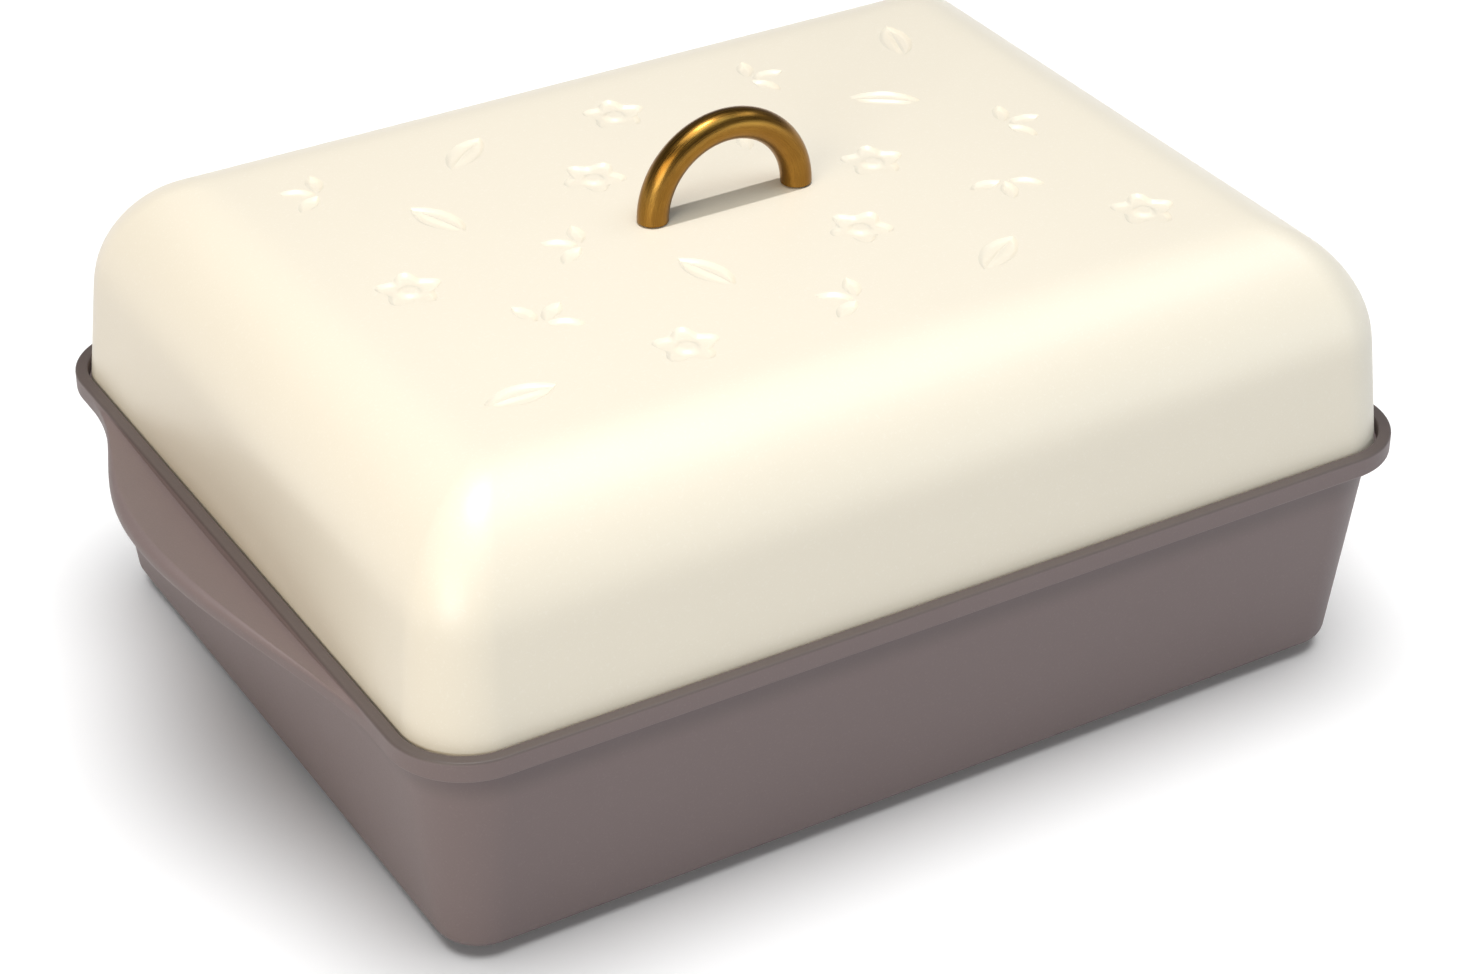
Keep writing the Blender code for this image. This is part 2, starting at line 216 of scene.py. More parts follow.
def addRange(tree, value, low, high, toLow, toHigh, place=(0, 0)):
    node = addNode(tree, "ShaderNodeMapRange", place, interpolation_type="SMOOTHSTEP")
    feed(tree, node.inputs["Value"], value)
    for name, number in (("From Min", low), ("From Max", high), ("To Min", toLow), ("To Max", toHigh)):
        feed(tree, node.inputs[name], number)
    return node.outputs["Result"]


def addMix(tree, blend, factor, first, second, place=(0, 0)):
    node = addNode(tree, "ShaderNodeMix", place, data_type="RGBA", blend_type=blend)
    feed(tree, node.inputs["Factor"], factor)
    feed(tree, node.inputs[6], first)
    feed(tree, node.inputs[7], second)
    return node.outputs[2]


def newGroup(name, inputs, outputs):
    group = bpy.data.node_groups.new(name, "ShaderNodeTree")
    for direction, sockets in (("INPUT", inputs), ("OUTPUT", outputs)):
        for socketName, kind in sockets:
            group.interface.new_socket(name=socketName, in_out=direction, socket_type="NodeSocket" + kind)
    source = addNode(group, "NodeGroupInput", (-6, 0))
    target = addNode(group, "NodeGroupOutput", (6, 0))
    return group, source.outputs, target.inputs


def newMaterial(name, shaderValues):
    material = bpy.data.materials.new(name)
    material.use_nodes = True
    shader = material.node_tree.nodes["Principled BSDF"]
    for socketName, value in shaderValues.items():
        shader.inputs[socketName].default_value = value
    return material, material.node_tree, shader


def placeGroup(tree, group, place=(-3, 0), **values):
    node = addNode(tree, "ShaderNodeGroup", place, node_tree=group)
    for name, value in values.items():
        feed(tree, node.inputs[name.replace("_", " ")], value)
    return node


# Sprayed ceramic coating: fine grain, a faint orange peel, flecks and slow mottling
sprayLook = {
    "grainDetail": 3.0,
    "grainRoughness": 0.6,
    "peelScale": 0.16,               # a share of the grain's scale, as the flecks' is
    "peelDetail": 1.0,
    "fleckScale": 0.7,
    "fleckDetail": 1.0,
    "fleckEdge": (0.60, 0.70),
    "mottleScale": 14.0,
    "mottleDetail": 2.0,
    "roughnessSwing": 0.16,
}
sprayGroup, sprayIn, sprayOut = newGroup(
    "sprayedCoating",
    [("Vector", "Vector"), ("Coat Color", "Color"), ("Fleck Color", "Color"), ("Fleck Share", "Float"),
     ("Mottling", "Float"), ("Grain Scale", "Float"), ("Grain Depth", "Float"), ("Peel Depth", "Float"),
     ("Base Roughness", "Float")],
    [("Color", "Color"), ("Roughness", "Float"), ("Normal", "Vector")])
grain = addNoise(sprayGroup, sprayIn["Vector"], sprayIn["Grain Scale"], sprayLook["grainDetail"], (-4, 0),
                 sprayLook["grainRoughness"])
peelScale = addMath(sprayGroup, "MULTIPLY", sprayIn["Grain Scale"], sprayLook["peelScale"], (-5, 2))
peel = addNoise(sprayGroup, sprayIn["Vector"], peelScale, sprayLook["peelDetail"], (-4, 2))
slow = addNoise(sprayGroup, sprayIn["Vector"], sprayLook["mottleScale"], sprayLook["mottleDetail"], (-4, 3))
fleckScale = addMath(sprayGroup, "MULTIPLY", sprayIn["Grain Scale"], sprayLook["fleckScale"], (-5, 4))
fleckNoise = addNoise(sprayGroup, sprayIn["Vector"], fleckScale, sprayLook["fleckDetail"], (-4, 4))
fleckMask = addRange(sprayGroup, fleckNoise, *sprayLook["fleckEdge"], 0.0, 1.0, (-3, 4))
fleckFactor = addMath(sprayGroup, "MULTIPLY", fleckMask, sprayIn["Fleck Share"], (-2, 4), True)
flecked = addMix(sprayGroup, "MIX", fleckFactor, sprayIn["Coat Color"], sprayIn["Fleck Color"], (-1, 3))
shade = addMath(sprayGroup, "SUBTRACT", slow, noiseMiddle, (-3, 3))
shade = addMath(sprayGroup, "MULTIPLY", shade, sprayIn["Mottling"], (-2, 3))
shade = addMath(sprayGroup, "ADD", shade, 1.0, (-1, 4))
feed(sprayGroup, sprayOut["Color"], addMix(sprayGroup, "MULTIPLY", 1.0, flecked, shade, (1, 3)))
roughShift = addMath(sprayGroup, "SUBTRACT", grain, noiseMiddle, (-3, 1))
roughShift = addMath(sprayGroup, "MULTIPLY", roughShift, sprayLook["roughnessSwing"], (-2, 1))
feed(sprayGroup, sprayOut["Roughness"],
     addMath(sprayGroup, "ADD", sprayIn["Base Roughness"], roughShift, (-1, 1), True))
peelBump = addNode(sprayGroup, "ShaderNodeBump", (2, 1))
feed(sprayGroup, peelBump.inputs["Height"], peel)
feed(sprayGroup, peelBump.inputs["Distance"], sprayIn["Peel Depth"])
grainBump = addNode(sprayGroup, "ShaderNodeBump", (3, 1))
feed(sprayGroup, grainBump.inputs["Height"], grain)
feed(sprayGroup, grainBump.inputs["Distance"], sprayIn["Grain Depth"])
feed(sprayGroup, grainBump.inputs["Normal"], peelBump.outputs["Normal"])
feed(sprayGroup, sprayOut["Normal"], grainBump.outputs["Normal"])

# Brushed metal: fine lines along the first axis of its coordinates, with a slow tarnish
brushLook = {
    "lineDetail": 3.0,
    "lineRoughness": 0.65,
    "lineEdge": (0.3, 0.7),
    "lineShade": (0.90, 1.08),
    "lineRoughnessShift": (-0.06, 0.07),
    "coarseScale": 0.3,              # a share of the lines' scale
    "coarseDetail": 2.0,
    "stainScale": 90.0,
    "stainDetail": 3.0,
    "stainEdge": (0.42, 0.68),
    "stainRoughnessShift": 0.12,
}
brushGroup, brushIn, brushOut = newGroup(
    "brushedMetal",
    [("Vector", "Vector"), ("Metal Color", "Color"), ("Tarnish Color", "Color"), ("Tarnish", "Float"),
     ("Line Scale", "Float"), ("Line Stretch", "Float"), ("Line Depth", "Float"),
     ("Base Roughness", "Float")],
    [("Color", "Color"), ("Roughness", "Float"), ("Normal", "Vector")])
alongScale = addMath(brushGroup, "DIVIDE", 1.0, brushIn["Line Stretch"], (-5, 1))
stretch = addNode(brushGroup, "ShaderNodeCombineXYZ", (-5, 2))
feed(brushGroup, stretch.inputs[0], alongScale)
stretch.inputs[1].default_value = 1.0
stretch.inputs[2].default_value = 1.0
stretched = addNode(brushGroup, "ShaderNodeVectorMath", (-4, 2), operation="MULTIPLY")
feed(brushGroup, stretched.inputs[0], brushIn["Vector"])
feed(brushGroup, stretched.inputs[1], stretch.outputs[0])
lines = addNoise(brushGroup, stretched.outputs[0], brushIn["Line Scale"], brushLook["lineDetail"], (-3, 1),
                 brushLook["lineRoughness"])
coarseScale = addMath(brushGroup, "MULTIPLY", brushIn["Line Scale"], brushLook["coarseScale"], (-4, 3))
coarse = addNoise(brushGroup, stretched.outputs[0], coarseScale, brushLook["coarseDetail"], (-3, 3))
stain = addNoise(brushGroup, brushIn["Vector"], brushLook["stainScale"], brushLook["stainDetail"], (-3, 4))
stainMask = addRange(brushGroup, stain, *brushLook["stainEdge"], 0.0, 1.0, (-2, 4))
stainFactor = addMath(brushGroup, "MULTIPLY", stainMask, brushIn["Tarnish"], (-1, 4), True)
toned = addMix(brushGroup, "MIX", stainFactor, brushIn["Metal Color"], brushIn["Tarnish Color"], (0, 3))
lineShade = addRange(brushGroup, lines, *brushLook["lineEdge"], *brushLook["lineShade"], (-1, 1))
feed(brushGroup, brushOut["Color"], addMix(brushGroup, "MULTIPLY", 1.0, toned, lineShade, (1, 3)))
roughLines = addRange(brushGroup, lines, *brushLook["lineEdge"], *brushLook["lineRoughnessShift"], (-1, 0))
roughStain = addMath(brushGroup, "MULTIPLY", stainFactor, brushLook["stainRoughnessShift"], (0, 1))
rough = addMath(brushGroup, "ADD", brushIn["Base Roughness"], roughLines, (1, 0))
feed(brushGroup, brushOut["Roughness"], addMath(brushGroup, "ADD", rough, roughStain, (2, 0), True))
lineHeight = addMath(brushGroup, "ADD", lines, coarse, (1, 1))
lineBump = addNode(brushGroup, "ShaderNodeBump", (3, 1))
feed(brushGroup, lineBump.inputs["Height"], lineHeight)
feed(brushGroup, lineBump.inputs["Distance"], brushIn["Line Depth"])
feed(brushGroup, brushOut["Normal"], lineBump.outputs["Normal"])


def coatedMaterial(name, finish):
    material, tree, shader = newMaterial(name, {"Specular IOR Level": finish["specular"]})
    place = addNode(tree, "ShaderNodeTexCoord", (-5, 0))
    spray = placeGroup(tree, sprayGroup, Vector=place.outputs["Object"], Coat_Color=(*finish["colour"], 1.0),
                       Fleck_Color=(*finish["fleckColour"], 1.0), Fleck_Share=finish["fleckShare"],
                       Mottling=finish["mottling"], Grain_Scale=finish["grainScale"],
                       Grain_Depth=finish["grainDepth"], Peel_Depth=finish["peelDepth"],
                       Base_Roughness=finish["roughness"])
    feed(tree, shader.inputs["Base Color"], spray.outputs["Color"])
    feed(tree, shader.inputs["Roughness"], spray.outputs["Roughness"])
    feed(tree, shader.inputs["Normal"], spray.outputs["Normal"])
    return material


def metalMaterial(name, finish, attribute=None):
    material, tree, shader = newMaterial(name, {"Metallic": 1.0})
    if attribute:
        place = addNode(tree, "ShaderNodeAttribute", (-5, 0), attribute_name=attribute)
        vector = place.outputs["Vector"]
    else:
        place = addNode(tree, "ShaderNodeTexCoord", (-5, 0))
        vector = place.outputs["Object"]
    brush = placeGroup(tree, brushGroup, Vector=vector, Metal_Color=(*finish["colour"], 1.0),
                       Tarnish_Color=(*finish["tarnishColour"], 1.0), Tarnish=finish["tarnish"],
                       Line_Scale=finish["lineScale"], Line_Stretch=finish["lineStretch"],
                       Line_Depth=finish["lineDepth"], Base_Roughness=finish["roughness"])
    feed(tree, shader.inputs["Base Color"], brush.outputs["Color"])
    feed(tree, shader.inputs["Roughness"], brush.outputs["Roughness"])
    feed(tree, shader.inputs["Normal"], brush.outputs["Normal"])
    return material


# Pan
panLow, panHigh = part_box("baking_pan")
pan = {
    "rimLength": 0.3600,             # over the rim, without the lugs
    "rimWidth": panHigh.y - panLow.y,
    "rimCornerRadius": 0.0257,
    "rimHeight": 0.0851,
    "rimBand": 0.0070,
    "rimEdgeRadius": 0.0009,
    "rimRootRadius": 0.0024,
    "lipWidth": 0.0042,
    "lipDepth": 0.0048,
    "lipEdgeRadius": 0.0006,
    "wallSetback": 0.0047,
    "wallCornerEase": 0.0049,
    "wallThickness": 0.0042,
    "baseTaper": 0.0093,
    "baseCornerRadius": 0.0148,
    "baseEdgeRadius": 0.0044,
    "footHeight": 0.0040,            # of the flat pad under the wall's lowest edge
    "footInset": 0.0090,
    "footEdgeRadius": 0.0008,
    "floorThickness": 0.0065,
    "floorFillet": 0.0085,
    "tightestCorner": 0.0012,
    "lugLength": 0.2116,
    "lugHollow": 1.2,                # 1 is a straight top side, more is a hollow one
    "lugCreaseDepth": 0.0020,
    "lugCreaseOut": 0.0007,
    "lugEdgeThickness": 0.0058,
    "lugEdgeRadius": 0.0026,
    "lugEdgeLean": math.radians(35),
    "lugRootDrop": 0.0180,
    "lugRowSpacing": 0.00012,
    "cornerSteps": 18,
    "sideSteps": 24,
    "endSteps": 72,
    "edgeSteps": 5,
    "lipSteps": 4,
    "floorSteps": 10,
    "lugTopSteps": 12,
    "lugEdgeSteps": 8,
    "lugUnderSteps": 18,
    "wallRows": 6,
    "sharpAngle": 60.0,
}
panFinish = {
    "colour": (0.197, 0.150, 0.149),
    "fleckColour": (0.250, 0.200, 0.196),
    "fleckShare": 0.22,
    "mottling": 0.05,
    "grainScale": 1900.0,
    "grainDepth": 0.000020,
    "peelDepth": 0.000030,
    "roughness": 0.50,
    "specular": 0.42,
    "lipPaintedShade": (0.56, 0.58, 0.55),   # painted shade on the top of the lip, beside the lid's foot
    "lipShadeReach": (0.0009, 0.0002),    # below the rim's top: where that starts, and where it is full
    # painted shade on the wall close under the rim's band
    "underBandPaintedShade": (0.76, 0.765, 0.77),
    "underShadeReach": (0.0150, 0.0050),  # the same for the painted shade below the rim's band
}
rimUnderside = pan["rimHeight"] - pan["rimBand"]
wallRun = rimUnderside - pan["footHeight"]
seatHeight = pan["rimHeight"] - pan["lipDepth"]


def panRing(halfX, halfY, radius, height):
    return roundedRing(halfX, halfY, radius, height, pan["cornerSteps"], pan["sideSteps"], pan["endSteps"])


def rimRing(inset, height):
    return panRing(pan["rimLength"] / 2 - inset, pan["rimWidth"] / 2 - inset,
                   pan["rimCornerRadius"] - inset, height)


def wallInset(height):
    return pan["wallSetback"] + pan["baseTaper"] * (rimUnderside - height) / wallRun


def wallRing(height, depth=0.0):
    inset = wallInset(height) + depth
    atRim = pan["rimCornerRadius"] - pan["wallSetback"] + pan["wallCornerEase"]
    share = (height - pan["footHeight"]) / wallRun
    radius = pan["baseCornerRadius"] + (atRim - pan["baseCornerRadius"]) * share - depth
    return panRing(pan["rimLength"] / 2 - inset, pan["rimWidth"] / 2 - inset,
                   max(radius, pan["tightestCorner"]), height)


def lugShare(y):                     # 1 in the middle of a lug and 0 at its ends, smooth at both
    along = min(abs(y) / (pan["lugLength"] / 2), 1.0)
    return (1 - along * along) ** 2


def withLugs(ring, out, height):
    drawn = []
    for point in ring:
        middle = Vector((math.copysign(pan["rimLength"] / 2 + out, point.x), point.y, height))
        drawn.append(point.lerp(middle, lugShare(point.y)))
    return drawn


def lugSection():                    # at the lug's middle: (out from the rim's face, height)
    crease = Vector((pan["lugCreaseOut"], pan["rimHeight"] - pan["lugCreaseDepth"]))
    tip = Vector((panHigh.x - pan["rimLength"] / 2, panHigh.z))
    radius, lean, steps = pan["lugEdgeRadius"], pan["lugEdgeLean"], pan["lugEdgeSteps"]
    turns = [(math.pi / 2 + lean) * step / steps - lean for step in range(steps + 1)]
    centre = tip - Vector((radius, radius))
    edge = [centre + radius * Vector((math.sin(turn), math.cos(turn))) for turn in turns]
    width, rise = edge[0] - crease
    upper = []
    for step in range(pan["lugTopSteps"]):
        share = step / pan["lugTopSteps"]
        upper.append(crease + Vector((width * share, rise * share ** pan["lugHollow"])))
    upper += edge
    foot = tip - Vector((0.0, pan["lugEdgeThickness"]))
    lower = [foot + Vector((-back, up)) for back, up in quarterRound(radius, pan["edgeSteps"])]
    rootHeight = rimUnderside - pan["lugRootDrop"]
    root = Vector((-wallInset(rootHeight), rootHeight))
    bend = Vector((root.x, rimUnderside))
    under = []
    for step in range(1, pan["lugUnderSteps"] + 1):
        share = step / (pan["lugUnderSteps"] + 1)
        under.append(lower[-1].lerp(bend, share).lerp(bend.lerp(root, share), share))
    return upper, lower, under


def panRows():
    rows = []
    for back, up in reversed(quarterRound(pan["floorFillet"], pan["floorSteps"])):
        rows.append(wallRing(pan["floorThickness"] + up, pan["wallThickness"] + back))
    low = pan["floorThickness"] + pan["floorFillet"]
    for step in range(1, pan["wallRows"]):
        height = low + (seatHeight - pan["lipEdgeRadius"] - low) * step / pan["wallRows"]
        rows.append(wallRing(height, pan["wallThickness"]))
    for back, down in quarterRound(pan["lipEdgeRadius"], pan["lipSteps"]):
        rows.append(wallRing(seatHeight - down, pan["wallThickness"] - back))
    for back, up in reversed(quarterRound(pan["lipEdgeRadius"] / 2, pan["lipSteps"])):
        rows.append(rimRing(pan["lipWidth"] + back, seatHeight + up))
    for back, down in quarterRound(pan["lipEdgeRadius"], pan["lipSteps"]):
        rows.append(rimRing(pan["lipWidth"] - back, pan["rimHeight"] - down))
    upper, lower, under = lugSection()
    for back, down in reversed(quarterRound(pan["rimEdgeRadius"], pan["edgeSteps"])[1:]):
        rows.append(rimRing(back, pan["rimHeight"] - down))
    for number, point in enumerate(upper):
        ring = rimRing(0.0, pan["rimHeight"] - pan["rimEdgeRadius"] - number * pan["lugRowSpacing"])
        rows.append(withLugs(ring, point.x, point.y))
    for (back, up), point in zip(quarterRound(pan["rimEdgeRadius"], pan["edgeSteps"]), lower):
        rows.append(withLugs(rimRing(back, rimUnderside + up), point.x, point.y))
    rounding = reversed(quarterRound(pan["rimRootRadius"], pan["edgeSteps"]))
    root = [wallRing(rimUnderside - down, -out) for out, down in rounding]
    steps = pan["lugUnderSteps"] + 1 - len(root)
    fall = pan["lugRootDrop"] - pan["rimRootRadius"]
    for step in range(1, steps + 1):
        root.append(wallRing(rimUnderside - pan["rimRootRadius"] - fall * step / steps))
    for ring, point in zip(root, under):
        rows.append(withLugs(ring, point.x, point.y))
    rows.append(root[-1])
    high = rimUnderside - pan["lugRootDrop"]
    fall = high - pan["baseEdgeRadius"] - pan["footHeight"]
    for step in range(1, pan["wallRows"]):
        rows.append(wallRing(high - fall * step / pan["wallRows"]))
    for back, up in quarterRound(pan["baseEdgeRadius"], pan["edgeSteps"] + 2):
        rows.append(wallRing(pan["footHeight"] + up, back))
    rows.append(wallRing(pan["footHeight"], pan["footInset"]))
    for back, up in quarterRound(pan["footEdgeRadius"], pan["lipSteps"]):
        rows.append(wallRing(up, pan["footInset"] + back))
    return rows


def paintRimShade(material):              # paints shade into the coating's colour: darker on the lip's top beside the lid, and on the wall close under the band
    tree = material.node_tree
    target = tree.nodes["Principled BSDF"].inputs["Base Color"]
    colour = target.links[0].from_socket
    place = addNode(tree, "ShaderNodeTexCoord", (-5, 3))
    parts = addNode(tree, "ShaderNodeSeparateXYZ", (-4, 3))
    feed(tree, parts.inputs[0], place.outputs["Object"])
    height = parts.outputs["Z"]
    across = addMath(tree, "ABSOLUTE", parts.outputs["X"], 0.0, (-3, 3))
    within = addMath(tree, "LESS_THAN", across, pan["rimLength"] / 2, (-2, 3))
    # painted shade on the lip's top, where the lid stands close beside it
    first, full = (pan["rimHeight"] - reach for reach in panFinish["lipShadeReach"])
    top = addRange(tree, height, first, full, 0.0, 1.0, (-3, 4))
    lip = addMath(tree, "MULTIPLY", top, within, (-1, 4))
    # painted shade on the wall close under the band, where the band hangs over it
    first, full = (rimUnderside - reach for reach in panFinish["underShadeReach"])
    near = addRange(tree, height, first, full, 0.0, 1.0, (-3, 5))
    below = addMath(tree, "LESS_THAN", height, rimUnderside, (-3, 6))
    wall = addMath(tree, "MULTIPLY", below, within, (-2, 6))
    under = addMath(tree, "MULTIPLY", near, wall, (-1, 5))
    colour = addMix(tree, "MULTIPLY", lip, colour, (*panFinish["lipPaintedShade"], 1.0), (0, 4))
    feed(tree, target, addMix(tree, "MULTIPLY", under, colour, (*panFinish["underBandPaintedShade"], 1.0), (1, 4)))


panMaterial = coatedMaterial("taupeCoating", panFinish)
paintRimShade(panMaterial)
panShell = addPiece(loft(panRows()), "pan_shell", "pan", "pan_coating", panMaterial, "baking_pan",
                    sharpAngle=pan["sharpAngle"])
evenNormals(panShell)
print("pan made")

# Dome lid
lidLow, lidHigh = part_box("dome_lid")
lid = {
    "gap": 0.0004,                   # between the foot and the lip
    "cornerEase": 0.0012,
    "thickness": 0.0035,
    "footRadius": 0.0007,
    "wallHeight": 0.0400,
    "draft": math.radians(5.64),
    "shoulderInset": 0.0353,
    "shoulderFullness": 1.79,        # 2 is a true ellipse, less is leaner
    "cornerTightening": 0.5,
    "topCornerRadius": 0.0060,
    "holeRadius": 0.0028,
    "cornerSteps": 22,
    "sideSteps": 24,
    "endSteps": 18,
    "footSteps": 4,
    "shoulderSteps": 80,
    "profileSteps": 84,
    "easingPasses": 16,
    "topRun": 0.0120,                # flat stretch inside the shoulder that takes part in the easing
    "holeSides": 40,
    "sharpAngle": 60.0,
    "cutSharpAngle": 25.0,
}
lidFinish = {
    "colour": (0.868, 0.797, 0.676),
    "fleckColour": (0.930, 0.870, 0.770),
    "fleckShare": 0.30,
    "mottling": 0.02,
    "grainScale": 1700.0,
    "grainDepth": 0.000018,
    "peelDepth": 0.000030,
    "roughness": 0.38,
    "specular": 0.60,
}
footInset = pan["lipWidth"] + lid["gap"]
shoulderHeight = lidHigh.z - lidLow.z - lid["wallHeight"]


def lidRing(inset, height, depth=0.0):
    footCorner = pan["rimCornerRadius"] - footInset + lid["cornerEase"]
    radius = max(footCorner - lid["cornerTightening"] * inset, lid["topCornerRadius"]) - depth
    return roundedRing(pan["rimLength"] / 2 - footInset - inset - depth,
                       pan["rimWidth"] / 2 - footInset - inset - depth,
                       radius, lidLow.z + height, lid["cornerSteps"], lid["sideSteps"], lid["endSteps"])


def skinOutline():                   # outer skin from foot to flat top: (inset, height)
    lean = math.tan(lid["draft"])
    points = [Vector((height * lean, height)) for height in (lid["footRadius"], lid["wallHeight"])]
    power = 2 / lid["shoulderFullness"]
    for step in range(1, lid["shoulderSteps"] + 1):
        turn = math.pi / 2 * step / lid["shoulderSteps"]
        inward = 1 - abs(math.cos(turn)) ** power
        upward = math.sin(turn) ** power
        extraLean = lean * shoulderHeight * upward * (1 - upward)
        inset = lid["wallHeight"] * lean + lid["shoulderInset"] * inward + extraLean
        points.append(Vector((inset, lid["wallHeight"] + shoulderHeight * upward)))
    points.append(points[-1] + Vector((lid["topRun"], 0.0)))
    return points


def evenlySpaced(points, steps):     # the same outline in steps of one length
    lengths = [0.0]
    for first, second in zip(points, points[1:]):
        lengths.append(lengths[-1] + (second - first).length)
    spaced = []
    index = 0
    for step in range(steps + 1):
        along = lengths[-1] * step / steps
        while index < len(points) - 2 and lengths[index + 1] < along:
            index += 1
        share = (along - lengths[index]) / (lengths[index + 1] - lengths[index])
        spaced.append(points[index].lerp(points[index + 1], share))
    return spaced


def eased(points, passes):           # spreads the sudden start and end of a bend
    for _ in range(passes):
        inner = [(before + 2 * point + after) / 4
                 for before, point, after in zip(points, points[1:], points[2:])]
        points = [points[0]] + inner + [points[-1]]
    return points


def domeProfile():                   # (inset, height, slope from upright), from foot to top
    points = eased(evenlySpaced(skinOutline(), lid["profileSteps"]), lid["easingPasses"])
    profile = []
    for number, point in enumerate(points):
        run = points[min(number + 1, len(points) - 1)] - points[max(number - 1, 0)]
        profile.append((point.x, point.y, math.atan2(run.x, run.y)))
    return profile


def lidRows():
    profile = domeProfile()
    rows = [lidRing(inset, height) for inset, height, _ in reversed(profile)]
    for back, up in quarterRound(lid["footRadius"], lid["footSteps"])[1:]:
        rows.append(lidRing(back, up))
    for back, up in reversed(quarterRound(lid["footRadius"], lid["footSteps"])):
        rows.append(lidRing(0.0, up, lid["thickness"] - back))
    for inset, height, slope in profile[1:]:
        down = lid["thickness"] * math.sin(slope)
        inward = lid["thickness"] * math.cos(slope)
        rows.append(lidRing(inset, max(height - down, lid["footRadius"]), inward))
    return rows


# Handle
handleLow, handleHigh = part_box("lid_handle")
handle = {
    "rodRadius": (handleHigh.y - handleLow.y) / 2,
    "footChamfer": 0.0004,
    "boreRadius": 0.0028,
    "boreDepth": 0.0083,
    "archSteps": 96,
    "rodSides": 48,
    "sharpAngle": 30.0,
}
handleFinish = {
    "colour": (0.300, 0.156, 0.030),
    "tarnishColour": (0.200, 0.090, 0.016),
    "tarnish": 0.35,
    "lineScale": 5200.0,
    "lineStretch": 45.0,
    "lineDepth": 0.000010,
    "roughness": 0.27,
}
archRadius = (handleHigh.x - handleLow.x) / 2 - handle["rodRadius"]
archHeight = handleHigh.z - handle["rodRadius"] - archRadius     # of the half ring's centre
footPlaces = (("left", -archRadius), ("right", archRadius))


def holeDrill(radius, bottom, top, sides):
    bm = bmesh.new()
    for _, x in footPlaces:
        made = bmesh.ops.create_cone(bm, cap_ends=True, segments=sides, radius1=radius, radius2=radius,
                                     depth=top - bottom)
        bmesh.ops.translate(bm, verts=made["verts"], vec=(x, 0.0, (top + bottom) / 2))
    return bm


lidMaterial = coatedMaterial("creamCoating", lidFinish)
lidShell = addPiece(loft(lidRows()), "lid_shell", "lid", "lid_coating", lidMaterial, "dome_lid",
                    sharpAngle=lid["sharpAngle"])
drill = holeDrill(lid["holeRadius"], lidHigh.z - 2 * lid["thickness"], lidHigh.z + lid["thickness"],
                  lid["holeSides"])
cutAway(lidShell, drill, lid["cutSharpAngle"])
print("lid made")


def finishFoot(bm, ring, x):         # a short leg, a chamfered foot and a blind bore for the screw
    angles = [math.atan2(vertex.co.y, vertex.co.x - x) for vertex in ring]

    def circle(radius, height):
        return [Vector((x + radius * math.cos(turn), radius * math.sin(turn), height)) for turn in angles]

    foot = handleLow.z
    radius = handle["rodRadius"]
    for ringRadius, height in ((radius, foot + handle["footChamfer"]),
                               (radius - handle["footChamfer"], foot),
                               (handle["boreRadius"], foot),
                               (handle["boreRadius"], foot + handle["boreDepth"])):
        ring = growRing(bm, ring, circle(ringRadius, height))
    bmesh.ops.contextual_create(bm, geom=ring)


def orderedRing(vertices, x):
    return sorted(vertices, key=lambda vertex: math.atan2(vertex.co.y, vertex.co.x - x))


def buildHandle(material):
    bm = bmesh.new()
    circle = bmesh.ops.create_circle(bm, cap_ends=False, segments=handle["rodSides"],
                                     radius=handle["rodRadius"])["verts"]
    bmesh.ops.translate(bm, verts=circle, vec=(-archRadius, 0.0, archHeight))
    spun = bmesh.ops.spin(bm, geom=circle + list(bm.edges), cent=(0.0, 0.0, archHeight), axis=(0, 1, 0),
                          angle=math.pi, steps=handle["archSteps"])
    last = [item for item in spun["geom_last"] if isinstance(item, bmesh.types.BMVert)]
    finishFoot(bm, orderedRing(circle, -archRadius), -archRadius)
    finishFoot(bm, orderedRing(last, archRadius), archRadius)
    made = addPiece(bm, "handle_ring", "lid", "handle_metal", material, "lid_handle",
                    sharpAngle=handle["sharpAngle"])
    space = made.data.attributes.new("rodSpace", "FLOAT_VECTOR", "POINT")
    for vertex in made.data.vertices:
        x, y, z = vertex.co
        rise = z - archHeight
        if rise >= 0.0:
            along = (math.pi - math.atan2(rise, x)) * archRadius
            out = math.hypot(x, rise) - archRadius
        else:
            along = rise if x < 0.0 else math.pi * archRadius - rise
            out = abs(x) - archRadius
        space.data[vertex.index].vector = (along, out, y)
    evenNormals(made)


buildHandle(metalMaterial("brushedBronze", handleFinish, "rodSpace"))
print("handle made")

# Leaves, blossoms and sprigs sunk into the lid's top
relief = {
    "depth": 0.0010,
    "above": 0.0003,                 # how far the cutters stand over the top
    "slopeWidth": 0.0022,
    "slopeShare": 0.8,               # the most that a slope takes of a motif's narrowest half width
    "motifs": ("leaf", "blossom", "sprig"),
    "rowSpacing": 0.0360,
    "columnSpacing": 0.0560,
    "rowCount": 5,
    "longRowCount": 5,               # every other row has one motif fewer
    "rowTurn": 37,                   # degrees from one row to the next
    "columnTurn": 71,
    "handleRoom": 0.0420,            # half length of the bare stretch round the handle's feet
    "outlineSteps": 60,
    "slopeSteps": 6,
    "innerSteps": 10,
    "leafHalfLength": 0.0120,
    "leafHalfWidth": 0.0054,
    "veinRise": 0.00085,
    "veinWidth": 0.00090,
    "blossomRadius": 0.0108,
    "petals": 5,
    "petalDepth": 0.15,
    "islandRise": 0.00088,
    "islandFlat": 0.0022,            # radius of its flat top
    "islandRadius": 0.0042,
    "budHalfLength": 0.0060,
    "budHalfWidth": 0.0029,
    "budReach": 0.0074,
    "budSpread": math.radians(68),
    "sprigShift": 0.5,               # a share of the reach, which centres the sprig on its place
}


